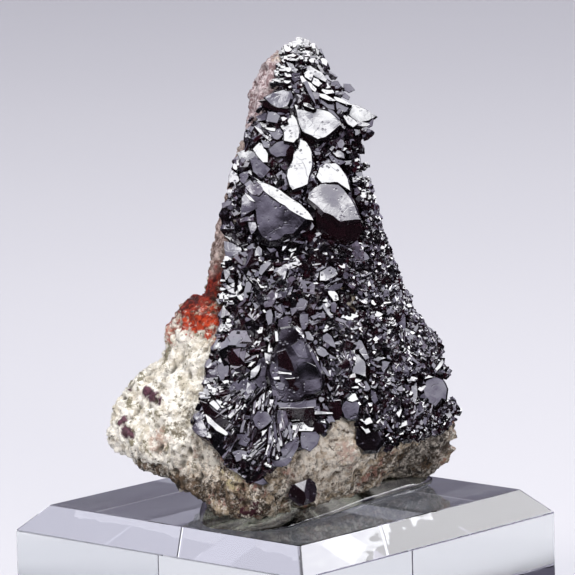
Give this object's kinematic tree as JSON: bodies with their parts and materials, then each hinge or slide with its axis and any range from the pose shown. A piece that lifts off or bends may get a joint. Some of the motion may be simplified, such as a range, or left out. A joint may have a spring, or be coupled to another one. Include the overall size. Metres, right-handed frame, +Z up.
{
  "type": "cuprite on matrix mineral specimen",
  "caption": "Tall wedge of pale rock covered in dark, mirror-faced cuprite crystals, set in clear resin on a bevelled clear acrylic display block.",
  "frame": {"origin": "centre of the acrylic block's underside, on the surface it stands on", "axes": "+Z up; the crystal side and one corner of the block look along -Y, and +X is to the viewer's right"},
  "size_m": [0.0718, 0.0718, 0.0795],
  "materials": {
    "matrix_rock": "rough broken rock, white, tan and brown, with a brick-red patch",
    "cuprite": "near-black crystal faces with a mirror-like lustre and deep red in thin edges",
    "clear_resin": "clear, slightly yellow, glossy set resin",
    "clear_acrylic": "clear polished acrylic"
  },
  "bodies": {
    "root": {"matrix_rock": "matrix_rock", "cuprite_crystals": "cuprite", "lone_cuprite_crystal": "cuprite", "mounting_resin": "clear_resin", "acrylic_block": "clear_acrylic"}
  },
  "joints": []
}
